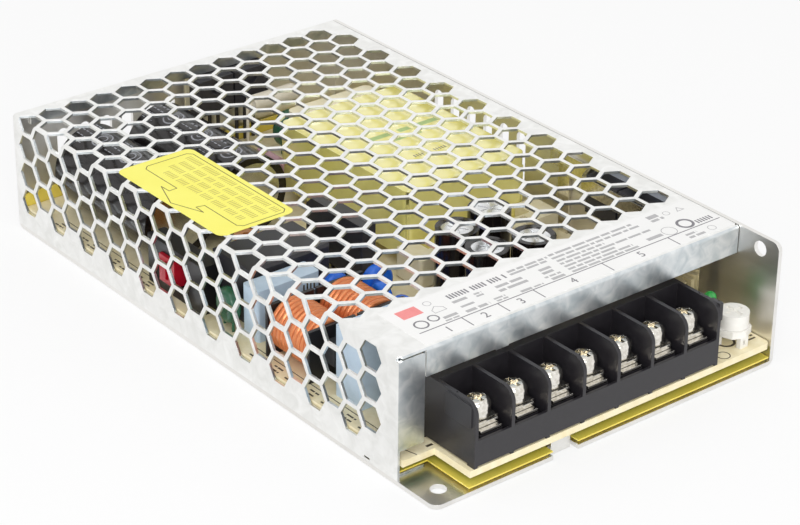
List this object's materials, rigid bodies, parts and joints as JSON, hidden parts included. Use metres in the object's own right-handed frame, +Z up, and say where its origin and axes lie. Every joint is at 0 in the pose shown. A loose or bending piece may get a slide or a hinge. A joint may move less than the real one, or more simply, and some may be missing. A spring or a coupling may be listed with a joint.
{
  "type": "mesh case switching power supply",
  "caption": "Flat enclosed power supply: folded metal chassis, honeycomb cover, screw terminal block, trimmer and lamp at one end.",
  "frame": {"origin": "centre of the case's outline, on its underside", "axes": "+Y from the terminal end to the back, +X to the right when the terminals face the viewer, +Z up out of the top of the cover"},
  "size_m": [0.097, 0.159, 0.0301],
  "materials": {
    "chassis": "satin, bare folded sheet",
    "cover": "galvanised, pale grey with a faint spangle",
    "insulating_sheet": "smooth yellow polyester film",
    "board": "beige laminate, green underneath",
    "fasteners": "bright plated steel",
    "label": "white film with grey print",
    "sticker": "yellow film",
    "terminal_block": "black moulding",
    "terminal_metal": "bright nickel plate",
    "white_plastic": "white moulding",
    "led": "clear green epoxy",
    "black_plastic": "black moulding",
    "red_plastic": "red moulding",
    "ferrite": "dark grey ferrite",
    "bobbin": "cream moulding",
    "tape": "yellow polyester tape",
    "capacitor_can": "satin drawn can",
    "capacitor_sleeve": "black shrink sleeve",
    "film_capacitor": "pale blue-grey box",
    "copper_wire": "enamelled copper",
    "blue_dip": "blue epoxy dip",
    "green_dip": "dark green dip",
    "package": "moulded package",
    "pad": "insulating pad",
    "ceramic": "matt ceramic",
    "orange": "orange tape and moulding",
    "mauve": "painted body"
  },
  "bodies": {
    "case": {"chassis": "chassis", "mesh_cover": "cover", "insulating_sheet": "insulating_sheet", "circuit_board": "board", "board_screws": "fasteners", "cover_screws": "fasteners", "rating_label": "label", "yellow_sticker": "sticker", "terminal_block": "terminal_block", "terminal_plates": "terminal_metal", "trimmer_base": "white_plastic", "status_led": "led", "selector_body": "black_plastic", "transformer_core": "ferrite", "transformer_bobbin": "bobbin", "transformer_winding": "tape", "transformer_tape": "tape", "input_capacitor_cans": "capacitor_can", "input_capacitor_sleeves": "capacitor_sleeve", "output_capacitor_cans": "capacitor_can", "output_capacitor_sleeves": "capacitor_sleeve", "film_capacitors": "film_capacitor", "line_filter_core": "ferrite", "line_filter_bobbin": "black_plastic", "line_filter_windings": "copper_wire", "disc_capacitors": "blue_dip", "thermistor": "green_dip", "fuse": "black_plastic", "bridge_rectifier": "package", "primary_transistors": "package", "transistor_pad": "pad", "output_rectifiers": "package", "rectifier_pad": "pad", "rectifier_clip": "fasteners", "ceramic_resistor": "ceramic", "green_capacitor": "green_dip", "orange_coil": "orange", "line_choke": "package", "dipped_capacitors": "green_dip", "snubber_resistor": "mauve", "output_choke_core": "ferrite", "output_choke_winding": "copper_wire"},
    "terminal_1": {"terminal_screw_1": "terminal_metal", "wire_clamp_1": "terminal_metal"},
    "terminal_2": {"terminal_screw_2": "terminal_metal", "wire_clamp_2": "terminal_metal"},
    "terminal_3": {"terminal_screw_3": "terminal_metal", "wire_clamp_3": "terminal_metal"},
    "terminal_4": {"terminal_screw_4": "terminal_metal", "wire_clamp_4": "terminal_metal"},
    "terminal_5": {"terminal_screw_5": "terminal_metal", "wire_clamp_5": "terminal_metal"},
    "terminal_6": {"terminal_screw_6": "terminal_metal", "wire_clamp_6": "terminal_metal"},
    "terminal_7": {"terminal_screw_7": "terminal_metal", "wire_clamp_7": "terminal_metal"},
    "trimmer_knob": {"trimmer_knob": "white_plastic"},
    "selector_slider": {"selector_slider": "red_plastic"}
  },
  "joints": [
    {"name": "terminal_1_lift", "type": "slide", "parent": "case", "child": "terminal_1", "axis": [0, 0, 1], "range_m": [0, 0.0018]},
    {"name": "terminal_2_lift", "type": "slide", "parent": "case", "child": "terminal_2", "axis": [0, 0, 1], "range_m": [0, 0.0018]},
    {"name": "terminal_3_lift", "type": "slide", "parent": "case", "child": "terminal_3", "axis": [0, 0, 1], "range_m": [0, 0.0018]},
    {"name": "terminal_4_lift", "type": "slide", "parent": "case", "child": "terminal_4", "axis": [0, 0, 1], "range_m": [0, 0.0018]},
    {"name": "terminal_5_lift", "type": "slide", "parent": "case", "child": "terminal_5", "axis": [0, 0, 1], "range_m": [0, 0.0018]},
    {"name": "terminal_6_lift", "type": "slide", "parent": "case", "child": "terminal_6", "axis": [0, 0, 1], "range_m": [0, 0.0018]},
    {"name": "terminal_7_lift", "type": "slide", "parent": "case", "child": "terminal_7", "axis": [0, 0, 1], "range_m": [0, 0.0018]},
    {"name": "trimmer_turn", "type": "hinge", "parent": "case", "child": "trimmer_knob", "pos_m": [0.0408, -0.0739, 0.012], "axis": [0, 0, 1], "range_deg": [-130, 130]},
    {"name": "selector_slide", "type": "slide", "parent": "case", "child": "selector_slider", "axis": [0, 1, 0], "range_m": [-0.004, 0]}
  ]
}
